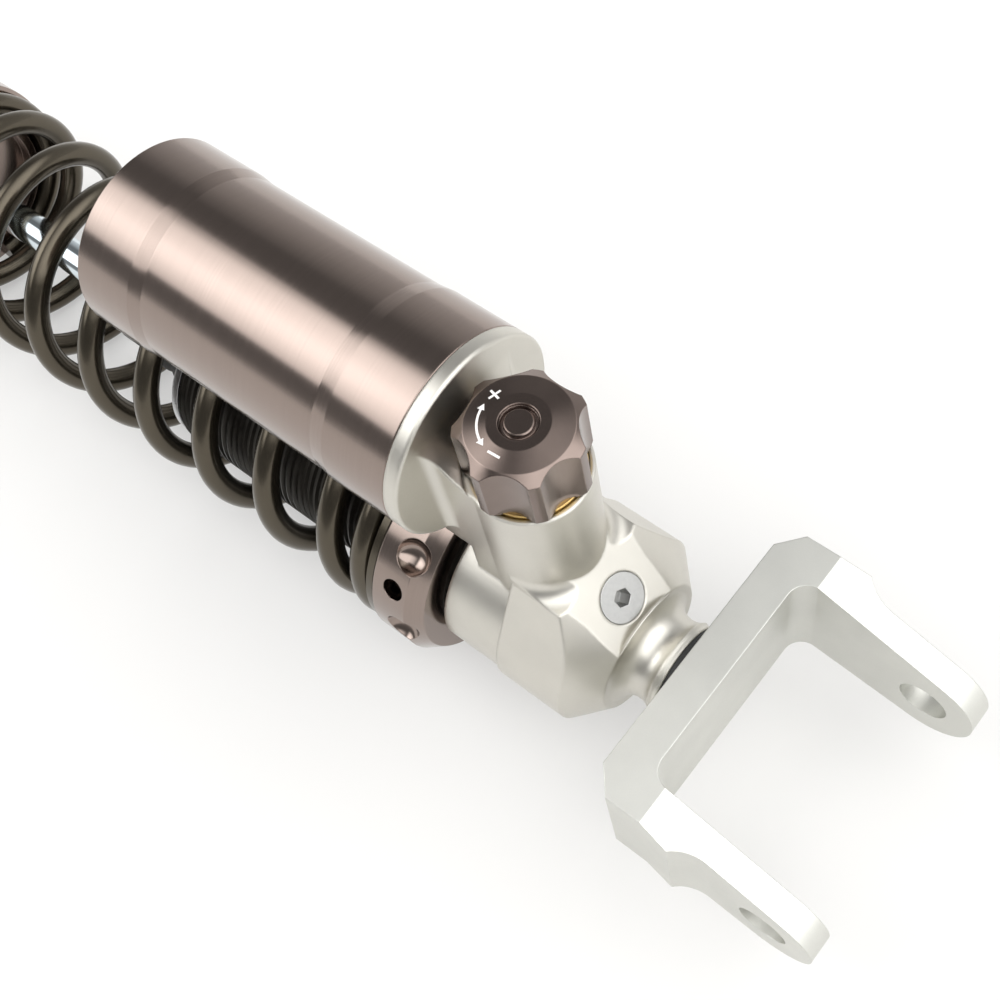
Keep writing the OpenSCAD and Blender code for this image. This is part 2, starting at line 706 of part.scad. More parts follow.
// Waisted foam stop that rests on the guide and meets the spring seat late in the stroke
module bump_stop() {
    front = guide_x - guide_lip - seat_gap;
    rear = front - bump_length;
    waist_r = bump_od / 2 - 2.5;
    color([0.14, 0.14, 0.13]) in_place() turned([[rod_r + run_gap, rear],
        [bump_od / 2 - 4, rear], [bump_od / 2 - 2, rear + 0.1 * bump_length],
        [bump_od / 2 - 2, rear + 0.26 * bump_length], [waist_r - 2, rear + 0.34 * bump_length],
        [bump_od / 2 - 1, rear + 0.42 * bump_length], [bump_od / 2 - 1, rear + 0.58 * bump_length],
        [waist_r, rear + 0.66 * bump_length], [bump_od / 2, rear + 0.74 * bump_length],
        [bump_od / 2, front], [wiper_r + clear_gap, front],
        [wiper_r + clear_gap, front - wiper_lip - clear_gap],
        [rod_r + run_gap, front - wiper_lip - clear_gap - 1]]);
}

module spring_seat() color([0.6, 0.52, 0.48]) in_place() difference() {
    turned([[0, seat_back_x], [hub_r - 1, seat_back_x], [hub_r, seat_back_x + 1],
        [hub_r, spring_rear_x - seat_flange], [ring_r - 1, spring_rear_x - seat_flange],
        [ring_r, spring_rear_x - seat_flange + 1], [ring_r, spring_rear_x - 1],
        [ring_r - 1, spring_rear_x], [spring_r - wire_d - 0.6, spring_rear_x],
        [spring_r - wire_d - 1.4, spring_rear_x + 4], [spring_r - wire_d - 4, spring_rear_x + 4],
        [spring_r - wire_d - 4, spring_rear_x], [0, spring_rear_x]]);
    rod_x(rod_r + run_gap, seat_back_x - 1, spring_rear_x + 1);
}

module eye_lock_nut() color("gray") in_place() difference() {
    intersection() {
        translate([eye_neck_x, 0, 0]) rotate([0, 90, 0])
            cylinder(d = lock_nut_flats / cos(30), h = lock_nut_length - run_gap, $fn = 6);
        turned([[0, eye_neck_x], [lock_nut_flats / 2, eye_neck_x],
            [lock_nut_flats / 2 + 1.4, eye_neck_x + 0.8],
            [lock_nut_flats / 2 + 1.4, seat_back_x - 0.8],
            [lock_nut_flats / 2, seat_back_x - run_gap], [0, seat_back_x - run_gap]]);
    }
    rod_x(rod_r + seat_gap, eye_neck_x - 1, seat_back_x + 1);
}

// Upper eye with its bonded bush

module upper_eye() color("silver") in_place() difference() {
    union() {
        translate([eye_x, 0, 0]) rotate([90, 0, 0])
            cylinder(d = eye_od, h = eye_width, center = true);
        turned([[0, eye_x + 4], [eye_neck_r, eye_x + 4], [eye_neck_r, eye_neck_x - 1.5],
            [eye_neck_r - 1.5, eye_neck_x], [0, eye_neck_x]]);
    }
    translate([eye_x, 0, 0]) rotate([90, 0, 0])
        cylinder(d = bush_od, h = eye_width + 2, center = true);
    rod_x(rod_r + seat_gap, rod_rear_x - 1, eye_neck_x + 1);
}

module eye_bush() color([0.1, 0.1, 0.1]) in_place() translate([eye_x, 0, 0])
    rotate([90, 0, 0]) difference() {
        cylinder(d = bush_od - 2 * seat_gap, h = eye_width, center = true);
        cylinder(d = sleeve_od + 2 * seat_gap, h = eye_width + 2, center = true);
    }

module eye_sleeve() color("lightgray") in_place() translate([eye_x, 0, 0])
    rotate([90, 0, 0]) difference() {
        cylinder(d = sleeve_od, h = sleeve_length, center = true);
        cylinder(d = sleeve_bore, h = sleeve_length + 2, center = true);
    }

// Fork

// Where a line from point p touches a circle, on its upper (side 1) or lower side (-1)
function tangent_point(p, c, r, side) = let(d = c - p, turn = acos(r / norm(d)),
    a = atan2(-d[1], -d[0]) - side * turn) c + r * [cos(a), sin(a)];

bridge_half = bridge_width / 2;
arm_out = fork_gap / 2 + arm_thickness;
corner_x = 5.15;
corner_y = 6.1;
shoulder_x = 82;
shoulder_out = bridge_half + 1.07;
scoop_end_x = 90;
inner_round = 5;

module half_plan() {
    scoop_r = (pow(scoop_end_x - shoulder_x, 2) + pow(shoulder_out - arm_out, 2))
        / (2 * (shoulder_out - arm_out));
    difference() {
        polygon([[bridge_x, 0], [bridge_x, bridge_half - corner_y],
            [bridge_x + corner_x, bridge_half], [taper_x, bridge_half],
            [shoulder_x, shoulder_out], [scoop_end_x, shoulder_out],
            [scoop_end_x, arm_out], [bolt_x + arm_end_radius + 1, arm_out],
            [bolt_x + arm_end_radius + 1, fork_gap / 2],
            [arm_x, fork_gap / 2], [arm_x, 0]]);
        translate([scoop_end_x, arm_out + scoop_r]) circle(r = scoop_r, $fn = 96);
    }
    // round inner corner
    difference() {
        translate([arm_x - 0.01, fork_gap / 2 - inner_round])
            square([inner_round, inner_round + 0.01]);
        translate([arm_x + inner_round, fork_gap / 2 - inner_round])
            circle(r = inner_round);
    }
}

module fork_side() {
    eye = [bolt_x, -bolt_drop];
    top = tangent_point([taper_x, bridge_height / 2], eye, arm_end_radius, 1);
    low = tangent_point([taper_x, -bridge_height / 2], eye, arm_end_radius, -1);
    polygon([[bridge_x - 1, bridge_height / 2], [taper_x, bridge_height / 2], top, eye, low,
        [taper_x, -bridge_height / 2], [bridge_x - 1, -bridge_height / 2]]);
    translate(eye) circle(r = arm_end_radius, $fn = 96);
}

module fork() color("silver") in_place() difference() {
    union() {
        intersection() {
            translate([0, 0, -bridge_height]) linear_extrude(2 * bridge_height) {
                half_plan();
                mirror([0, 1]) half_plan();
            }
            rotate([90, 0, 0]) translate([0, 0, -bridge_width])
                linear_extrude(2 * bridge_width) fork_side();
        }
        // shank that turns in the head
        rod_x(shank_r, shank_back, bridge_x + 1);
    }
    translate([bolt_x, 0, -bolt_drop]) rotate([90, 0, 0])
        cylinder(d = bolt_d, h = 2 * bridge_width, center = true);
}

module fork_oring() color([0.05, 0.05, 0.05]) in_place()
    ring_x(neck_r - 0.3, shank_r + run_gap, neck_end_x + 0.1, bridge_x - 0.1);

head();
damper_tube();
rod_guide();
rod_seal();
dust_wiper();
reservoir_tube();
reservoir_oring();
end_cap();
end_cap_oring();
end_cap_clip();
gas_valve();
valve_cap();
floating_piston();
floating_piston_oring();
side_plug();
plug_seal();
needle_seat();
stem_oring();
adjuster_knob();
knob_cap();
adjuster_disc();
adjuster_stem();
adjuster_needle();
preload_ring();
ring_grub_screw();
spring_washer();
main_spring();
piston_rod();
piston();
piston_band();
compression_shims();
rebound_shims();
piston_nut();
bump_stop();
spring_seat();
eye_lock_nut();
upper_eye();
eye_bush();
eye_sleeve();
fork();
fork_oring();
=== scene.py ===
"""Dresses a scooter rear shock absorber: anodised reservoir, threaded tube, coil and fork.

Everything is in metres in the part's own frame: +X along the damper from the upper eye to
the fork, +Z towards the reservoir, origin at the centre of the fork's bolt hole.
"""

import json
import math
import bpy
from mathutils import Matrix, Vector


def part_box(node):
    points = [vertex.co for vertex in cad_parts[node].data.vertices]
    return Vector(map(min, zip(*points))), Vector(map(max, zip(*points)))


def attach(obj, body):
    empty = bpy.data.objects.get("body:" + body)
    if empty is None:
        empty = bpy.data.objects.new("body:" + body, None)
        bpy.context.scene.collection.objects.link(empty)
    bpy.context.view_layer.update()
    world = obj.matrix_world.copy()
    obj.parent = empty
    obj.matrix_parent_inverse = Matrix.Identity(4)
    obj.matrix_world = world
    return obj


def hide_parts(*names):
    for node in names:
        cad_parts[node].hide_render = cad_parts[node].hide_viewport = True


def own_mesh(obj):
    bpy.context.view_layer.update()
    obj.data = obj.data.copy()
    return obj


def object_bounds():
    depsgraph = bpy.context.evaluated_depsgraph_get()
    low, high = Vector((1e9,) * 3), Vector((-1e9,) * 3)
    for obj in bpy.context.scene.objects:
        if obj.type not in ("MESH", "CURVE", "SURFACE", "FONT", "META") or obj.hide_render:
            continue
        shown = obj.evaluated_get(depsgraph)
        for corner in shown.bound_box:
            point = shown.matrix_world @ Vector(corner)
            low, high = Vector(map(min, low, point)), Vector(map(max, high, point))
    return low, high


bl_info = {
    "name": "Scooter Shock Absorber",
    "version": (1, 0, 0),
    "blender": (4, 5, 0),
    "location": "3D View > Sidebar > Shock",
    "description": "Finishes and fine pieces of a reservoir shock absorber",
    "category": "Object",
}

import bmesh
import bpy
from mathutils import Matrix, Vector

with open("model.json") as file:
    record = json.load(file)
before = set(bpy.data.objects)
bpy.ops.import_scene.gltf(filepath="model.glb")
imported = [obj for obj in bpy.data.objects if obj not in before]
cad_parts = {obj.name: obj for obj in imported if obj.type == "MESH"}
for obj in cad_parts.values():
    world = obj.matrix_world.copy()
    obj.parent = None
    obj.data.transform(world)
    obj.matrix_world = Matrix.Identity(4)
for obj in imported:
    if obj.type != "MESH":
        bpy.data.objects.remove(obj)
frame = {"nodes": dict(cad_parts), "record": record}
cad_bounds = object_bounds()
MM = 0.001
RECORD = frame["record"]

# Places on the damper axis, in the part's frame
AXIS_Z = 8.5 * MM
RESERVOIR_Z = AXIS_Z + 58 * MM
JOINT_X = -104.6 * MM
KNOB_X = JOINT_X + 20 * MM

# Marks on the knob's face: angles in degrees from +X towards +Y
PLUS_ANGLE = 164
MINUS_ANGLE = 273
ARROW_ANGLES = (190, 246)
MARK_RADIUS = 8.6 * MM
MARK_LENGTH = 3 * MM
MARK_WIDTH = 0.52 * MM
MARK_HEIGHT = 0.06 * MM
ARROW_HEAD = 1.9 * MARK_WIDTH
# The knob's face is flat up to a radius and falls outside it, as height by radius
KNOB_FLAT = 6.7 * MM
KNOB_FALL = 0.9 / 4.9

# Distance between the rings that facing leaves, and the wave texture's scale for one metre
FACING_PITCH = 0.14 * MM
RING_WAVE = math.pi / 10

# Faces round the threaded tube, one turn of its thread and the knob's arrow
TUBE_STEPS, THREAD_STEPS, ARROW_STEPS = 96, 48, 18

# Steepest edge that is shaded smooth, in degrees
SMOOTH = 11.5
SMOOTH_WAIST = 5
SMOOTH_KNOB = 8
SMOOTH_COIL = 40
SMOOTH_THREAD = 50
# Corners of a solid's mesh that lie closer than this are one
MERGED = 0.002 * MM

# Half the floor's width, and how far it lies under the part
FLOOR_HALF = 3
FLOOR_BELOW = 0.2 * MM
# Share of the floor's look that is plain white to the camera and to mirrors
FLOOR_WHITE = 0.40

# A Mix node's sockets for colours, by index because their names are used more than once
MIX_A, MIX_B, MIX_RESULT = 6, 7, 2

# What metal mirrors of the studio, as (degrees from overhead towards +Y, brightness)
ROOM = ((-180, 1.05), (-104, 1.02), (-92, 0.75), (-84, 0.30), (-64, 0.20), (12, 0.20),
        (36, 0.19), (60, 0.50), (90, 0.80), (126, 1.05), (180, 1.05))
LONG_BOX = ((-63, 0), (-60, 1.9), (-48, 2.9), (-38, 3.7), (-28, 3.9), (-14, 3.1), (-3, 2.6),
            (5, 1.2), (11, 0))
END_BOX = ((-50, 0), (-35, 1), (45, 1), (62, 0))
# Share of each soft box that shows, as (the direction's X, share)
LONG_BOX_REACH = ((-0.98, 0), (-0.85, 0.8), (-0.60, 0.9), (-0.48, 1), (-0.40, 0.7), (-0.28, 0))
END_BOX_REACH = ((-0.25, 0), (-0.08, 0.7), (0.10, 1.5), (0.35, 2.1), (0.50, 2.4), (1, 2.4))


# Sizes and colours that a user may change


class ShockSizes(bpy.types.PropertyGroup):
    thread_pitch: bpy.props.FloatProperty(
        name="Thread pitch", description="Advance of the tube's thread in one turn",
        default=2 * MM, min=1 * MM, max=3 * MM, precision=5, unit="LENGTH")
    thread_depth: bpy.props.FloatProperty(
        name="Thread depth", description="Height of the tube's thread above its root",
        default=0.85 * MM, min=0.3 * MM, max=1.2 * MM, precision=5, unit="LENGTH")
    coil_pitch: bpy.props.FloatProperty(
        name="Coil pitch", description="Distance from one free coil to the next",
        default=22.6 * MM, min=20 * MM, max=25 * MM, precision=5, unit="LENGTH")
    wire_sides: bpy.props.IntProperty(
        name="Wire sides", description="Faces round the spring's wire", default=20, min=8, max=32)
    edge_radius: bpy.props.FloatProperty(
        name="Edge radius", description="Radius that softens machined edges in the shading",
        default=0.35 * MM, min=0, max=1 * MM, precision=5, unit="LENGTH")


class ShockColours(bpy.types.PropertyGroup):
    rose: bpy.props.FloatVectorProperty(
        name="Reservoir", description="Anodised colour of reservoir and preload ring",
        default=(0.285, 0.228, 0.200), min=0, max=1, subtype="COLOR")
    knob: bpy.props.FloatVectorProperty(
        name="Knob", description="Darker anodised colour of the knob",
        default=(0.220, 0.174, 0.154), min=0, max=1, subtype="COLOR")
    silver: bpy.props.FloatVectorProperty(
        name="Head", description="Satin silver of the head and the upper eye",
        default=(0.65, 0.63, 0.575), min=0, max=1, subtype="COLOR")
    fork: bpy.props.FloatVectorProperty(
        name="Fork", description="Blasted silver of the fork",
        default=(0.69, 0.69, 0.65), min=0, max=1, subtype="COLOR")
    spring: bpy.props.FloatVectorProperty(
        name="Spring", description="Metallic khaki grey of the spring",
        default=(0.092, 0.078, 0.057), min=0, max=1, subtype="COLOR")
    floor: bpy.props.FloatVectorProperty(
        name="Floor", description="Pale floor", default=(0.74, 0.73, 0.71), min=0, max=1,
        subtype="COLOR")


# Small tools shared by the pieces


def link_piece(name, bm, material, body, smooth_degrees=SMOOTH):
    """Turns a bmesh into a piece that rides on a body."""
    mesh = bpy.data.meshes.new(name)
    bm.to_mesh(mesh)
    bm.free()
    # the solid's own corner normals don't fit its merged copy
    if "custom_normal" in mesh.attributes:
        mesh.attributes.remove(mesh.attributes["custom_normal"])
    mesh.polygons.foreach_set("use_smooth", [True] * len(mesh.polygons))
    mesh.set_sharp_from_angle(angle=math.radians(smooth_degrees))
    mesh.materials.append(material)
    piece = bpy.data.objects.new(name, mesh)
    bpy.context.scene.collection.objects.link(piece)
    # large flat faces keep their own normal beside small curved ones
    flat = piece.modifiers.new("flat_faces", "WEIGHTED_NORMAL")
    flat.keep_sharp = True
    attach(piece, body)
    return piece


def body_of_node(node):
    """The body of the record that holds a node."""
    return next(b for b, nodes in RECORD["behaviour"]["bodies"].items() if node in nodes)


def slot_of_node(node):
    """The material slot that the record gives a node."""
    return next(s["material_slot"] for s in RECORD["subparts"] if s["node"] == node)


def smooth_copy(node, material, smooth_degrees=SMOOTH):
    """A merged copy of a solid, shaded smooth up to its true edges, in the solid's place."""
    bm = bmesh.new()
    bm.from_mesh(frame["nodes"][node].data)
    bmesh.ops.remove_doubles(bm, verts=bm.verts, dist=MERGED)
    piece = link_piece(node + "_finish", bm, material, body_of_node(node),
                       smooth_degrees)
    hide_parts(node)
    return piece


def turned(points, steps, centre_z=AXIS_Z):
    """A closed profile of (radius, x) turned about the line at centre_z along X."""
    bm = bmesh.new()
    ring = [bm.verts.new((x, 0, centre_z + r)) for r, x in points]
    edges = [bm.edges.new((a, b)) for a, b in zip(ring, ring[1:] + ring[:1])]
    bmesh.ops.spin(bm, geom=ring + edges, cent=(0, 0, centre_z), axis=(1, 0, 0),
                   angle=2 * math.pi, steps=steps, use_merge=True)
    bmesh.ops.recalc_face_normals(bm, faces=bm.faces)
    return bm


# Finishes


class Finish:
    """A material under construction: its nodes, its links and its shader."""

    def __init__(self, name):
        self.material = bpy.data.materials.new(name)
        self.material.use_nodes = True
        self.tree = self.material.node_tree
        self.shader = self.tree.nodes["Principled BSDF"]
        self.place = self.node("ShaderNodeTexCoord").outputs["Object"]

    def node(self, kind, **values):
        made = self.tree.nodes.new(kind)
        for key, value in values.items():
            if hasattr(made, key):
                setattr(made, key, value)
            else:
                made.inputs[key.replace("_", " ")].default_value = value
        return made

    def link(self, out, into):
        self.tree.links.new(out, into)

    def noise(self, scale, detail=3.0, roughness=0.5, stretch=None):
        """Noise on the object's own place, stretched along its axes if asked."""
        made = self.node("ShaderNodeTexNoise", Scale=scale, Detail=detail, Roughness=roughness)
        if stretch:
            mapping = self.node("ShaderNodeMapping", Scale=stretch)
            self.link(self.place, mapping.inputs["Vector"])
            self.link(mapping.outputs["Vector"], made.inputs["Vector"])
        else:
            self.link(self.place, made.inputs["Vector"])
        return made.outputs["Fac"]

    def spread(self, value, low, high, start=0.3, end=0.7):
        """Maps a 0 to 1 value onto low to high."""
        made = self.node("ShaderNodeMapRange")
        for key, number in (("From Min", start), ("From Max", end), ("To Min", low),
                            ("To Max", high)):
            made.inputs[key].default_value = number
        self.link(value, made.inputs["Value"])
        return made.outputs["Result"]

    def tint(self, value, dark, light):
        """A colour between dark and light, by value."""
        ramp = self.node("ShaderNodeValToRGB")
        ramp.color_ramp.elements[0].position = 0.3
        ramp.color_ramp.elements[1].position = 0.7
        ramp.color_ramp.elements[0].color = (*dark, 1)
        ramp.color_ramp.elements[1].color = (*light, 1)
        self.link(value, ramp.inputs["Fac"])
        self.link(ramp.outputs["Color"], self.shader.inputs["Base Color"])

    def relief(self, height, distance, strength=1.0, edge_radius=None):
        """Bump from a height, over edges that are softened in the shading."""
        bump = self.node("ShaderNodeBump", Strength=strength, Distance=distance)
        self.link(height, bump.inputs["Height"])
        if edge_radius:
            bevel = self.node("ShaderNodeBevel", samples=6, Radius=edge_radius)
            self.link(bevel.outputs["Normal"], bump.inputs["Normal"])
        self.link(bump.outputs["Normal"], self.shader.inputs["Normal"])

    def set(self, **values):
        for key, value in values.items():
            self.shader.inputs[key.replace("_", " ")].default_value = value
        return self


def shade(colour, factor):
    """A colour made darker or lighter."""
    return tuple(min(1, c * factor) for c in colour)


def satin_silver(name, colour, grain, roughness, edge=1.0):
    """Blasted and clear anodised aluminium: an even satin with a fine grain. Its edges are
    rounded by a multiple of the usual radius."""
    made = Finish(name).set(Metallic=1.0)
    cloud = made.noise(scale=60, detail=4)
    made.tint(cloud, shade(colour, 0.96), shade(colour, 1.04))
    speck = made.noise(scale=2600, detail=2, roughness=0.6)
    made.link(made.spread(speck, roughness - 0.04, roughness + 0.06),
              made.shader.inputs["Roughness"])
    made.relief(speck, distance=0.02 * MM, strength=grain, edge_radius=edge * edge_radius())
    return made.material


def turned_anodised(name, colour, roughness, lines=0.12):
    """Anodised aluminium with the fine lines that turning leaves across the axis, under
    the clear skin of its oxide."""
    made = Finish(name).set(Metallic=1.0, Coat_Weight=0.3, Coat_Roughness=0.2)
    line = made.noise(scale=1.0, detail=4, roughness=0.7, stretch=(4200, 6, 6))
    made.tint(line, shade(colour, 0.95), shade(colour, 1.05))
    made.link(made.spread(line, roughness - 0.02, roughness + 0.03),
              made.shader.inputs["Roughness"])
    made.relief(line, distance=0.01 * MM, strength=lines, edge_radius=edge_radius())
    return made.material


def faced_anodised(name, colour, roughness):
    """Anodised aluminium faced on a lathe: faint rings round the knob's axis."""
    made = Finish(name).set(Metallic=1.0)
    centre = made.node("ShaderNodeMapping", Location=(-KNOB_X, 0, 0))
    made.link(made.place, centre.inputs["Vector"])
    rings = made.node("ShaderNodeTexWave", wave_type="RINGS", rings_direction="Z",
                      Scale=RING_WAVE / FACING_PITCH, Distortion=0.6, Detail=2.0)
    made.link(centre.outputs["Vector"], rings.inputs["Vector"])
    made.tint(made.noise(scale=180), shade(colour, 0.95), shade(colour, 1.05))
    made.link(made.spread(rings.outputs["Fac"], roughness, roughness + 0.04, start=0, end=1),
              made.shader.inputs["Roughness"])
    made.relief(rings.outputs["Fac"], distance=0.002 * MM, strength=0.5,
                edge_radius=edge_radius())
    return made.material


def machined_steel(name, colour, roughness, scale=900, strength=0.06):
    """Plated or bare steel with faint tool marks."""
    made = Finish(name).set(Metallic=1.0)
    mark = made.noise(scale, roughness=0.6)
    made.tint(mark, shade(colour, 0.95), shade(colour, 1.05))
    made.link(made.spread(mark, roughness - 0.04, roughness + 0.06),
              made.shader.inputs["Roughness"])
    made.relief(mark, distance=0.008 * MM, strength=strength, edge_radius=edge_radius())
    return made.material


def metallic_coat(name, colour):
    """Khaki metallic powder coat with flakes under a gloss top."""
    made = Finish(name).set(Metallic=0.92, Coat_Weight=0.2, Coat_Roughness=0.08)
    flake = made.noise(scale=3800, detail=2, roughness=0.7)
    made.tint(flake, shade(colour, 0.90), shade(colour, 1.10))
    peel = made.noise(scale=420, detail=2)
    made.link(made.spread(peel, 0.20, 0.26), made.shader.inputs["Roughness"])
    made.relief(peel, distance=0.03 * MM, strength=0.15)
    return made.material


def polished_chrome(name):
    """Hard chrome on the rod, nearly a mirror."""
    made = Finish(name).set(Metallic=1.0)
    haze = made.noise(scale=90)
    made.tint(haze, (0.60, 0.68, 0.72), (0.68, 0.75, 0.79))
    made.link(made.spread(haze, 0.05, 0.10), made.shader.inputs["Roughness"])
    line = made.noise(scale=1.0, detail=2, stretch=(7000, 40, 40))
    made.relief(line, distance=0.003 * MM, strength=0.15)
    return made.material


def soft_rubber(name, colour, roughness, pores=0.3, scale=900):
    """Black rubber or foam: dull, with a slight sheen on its skin."""
    made = Finish(name).set(Metallic=0.0, Sheen_Weight=0.15, Sheen_Roughness=0.4)
    skin = made.noise(scale, detail=4, roughness=0.6)
    made.tint(skin, shade(colour, 0.7), shade(colour, 1.4))
    made.link(made.spread(skin, roughness - 0.08, roughness + 0.08),
              made.shader.inputs["Roughness"])
    made.relief(skin, distance=0.04 * MM, strength=pores)
    return made.material


def black_anodised(name):
    """Hard black anodising on the threaded tube."""
    made = Finish(name).set(Metallic=0.6)
    cloud = made.noise(scale=150, detail=4)
    made.tint(cloud, (0.018, 0.016, 0.013), (0.040, 0.036, 0.030))
    made.link(made.spread(cloud, 0.30, 0.42), made.shader.inputs["Roughness"])
    made.relief(made.noise(scale=2400, detail=2), distance=0.01 * MM, strength=0.3)
    return made.material


def marking_paint(name):
    """Pale ink of the marks on the knob."""
    made = Finish(name).set(Metallic=0.0, Roughness=0.5)
    made.tint(made.noise(scale=2000, detail=2), (0.74, 0.71, 0.69), (0.86, 0.84, 0.82))
    return made.material


def edge_radius():
    """The radius of softened edges that the user set."""
    return bpy.context.scene.shock_sizes.edge_radius


def finish_named(slot):
    """The finish of a material slot, made once."""
    ready = bpy.data.materials.get("finish_" + slot)
    if ready:
        return ready
    tones = bpy.context.scene.shock_colours
    name = "finish_" + slot
    makers = {
        "cast_silver": lambda: satin_silver(name, tones.silver, grain=0.2, roughness=0.36,
                                            edge=3.0),
        "fork_silver": lambda: satin_silver(name, tones.fork, grain=0.5, roughness=0.46),
        "rose_anodised": lambda: turned_anodised(name, tones.rose, roughness=0.16),
        "knob_anodised": lambda: faced_anodised(name, tones.knob, roughness=0.16),
        "black_anodised": lambda: black_anodised(name),
        "machined": lambda: machined_steel(name, (0.70, 0.70, 0.71), roughness=0.30),
        "spring_coat": lambda: metallic_coat(name, tones.spring),
        "chrome_rod": lambda: polished_chrome(name),
        "steel": lambda: machined_steel(name, (0.46, 0.46, 0.45), roughness=0.36),
        "dark_steel": lambda: machined_steel(name, (0.05, 0.048, 0.045), roughness=0.34),
        "shim_steel": lambda: machined_steel(name, (0.55, 0.55, 0.54), roughness=0.2),
        "brass": lambda: machined_steel(name, (0.75, 0.54, 0.22), roughness=0.22),
        "rubber": lambda: soft_rubber(name, (0.022, 0.022, 0.022), roughness=0.5),
        "bush_rubber": lambda: soft_rubber(name, (0.028, 0.027, 0.026), roughness=0.62,
                                           pores=0.5, scale=500),
        "foam": lambda: soft_rubber(name, (0.035, 0.034, 0.032), roughness=0.85, pores=0.9,
                                    scale=1500),
        "band": lambda: soft_rubber(name, (0.13, 0.07, 0.035), roughness=0.45, pores=0.1),
        "cap_plastic": lambda: soft_rubber(name, (0.03, 0.03, 0.03), roughness=0.4, pores=0.15),
    }
    return makers[slot]()


def dress(nodes, smooth_degrees=SMOOTH):
    """Gives each of these solids its finish, on a smooth copy of it."""
    for node in nodes:
        smooth_copy(node, finish_named(slot_of_node(node)), smooth_degrees)


# Pieces


class SHOCK_OT_reservoir(bpy.types.Operator):
    """Reservoir tube, its end cap with valve, and the piston inside"""
    bl_idname = "shock.reservoir"
    bl_label = "Reservoir"

    def execute(self, context):
        # the slopes of the waist are 7 degrees steep and keep their edges
        dress(["reservoir_tube"], SMOOTH_WAIST)
        dress(["end_cap", "end_cap_clip", "gas_valve", "valve_cap", "reservoir_oring",
               "end_cap_oring", "floating_piston", "floating_piston_oring"])
        return {"FINISHED"}


class SHOCK_OT_head(bpy.types.Operator):
    """Head with its side plug and seals"""
    bl_idname = "shock.head"
    bl_label = "Head"

    def execute(self, context):
        dress(["head", "side_plug", "plug_seal", "needle_seat", "stem_oring"])
        return {"FINISHED"}


class SHOCK_OT_threaded_tube(bpy.types.Operator):
    """Damper tube with its long outer thread, and the guide and seals in its end"""
    bl_idname = "shock.threaded_tube"
    bl_label = "Threaded tube"

    def execute(self, context):
        sizes = context.scene.shock_sizes
        low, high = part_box("damper_tube")
        crest = (high.z - low.z) / 2
        root = crest - sizes.thread_depth
        bore, chamfer = 18 * MM, 0.5 * MM
        plain_x = JOINT_X + 3 * MM
        bm = turned([(bore, low.x), (root - chamfer, low.x), (root, low.x + chamfer),
                     (root, plain_x), (crest, plain_x), (crest, high.x), (bore, high.x)],
                    TUBE_STEPS)
        # one ridge wound round the root, with a flat crest and its foot sunk in the tube
        steps, pitch, foot = THREAD_STEPS, sizes.thread_pitch, root - 0.3 * MM
        start, end = low.x + 0.8 * MM, plain_x - 0.6 * MM
        turns = (end - start) / pitch - 1
        ridge = [(foot, 0), (crest, 0.34 * pitch), (crest, 0.52 * pitch), (foot, 0.86 * pitch)]
        ring = [bm.verts.new((start + x, 0, AXIS_Z + r)) for r, x in ridge]
        face = bm.faces.new(ring)
        spun = bmesh.ops.spin(bm, geom=[face, *face.edges, *ring], cent=(0, 0, AXIS_Z),
                              axis=(1, 0, 0), dvec=(pitch / steps, 0, 0),
                              angle=2 * math.pi * turns, steps=round(steps * turns))
        bmesh.ops.recalc_face_normals(bm, faces=bm.faces)
        piece = link_piece("threaded_tube", bm, finish_named("black_anodised"), "body",
                           SMOOTH_THREAD)
        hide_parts("damper_tube")
        dress(["rod_guide", "rod_seal", "dust_wiper", "bump_stop"])
        return {"FINISHED"}


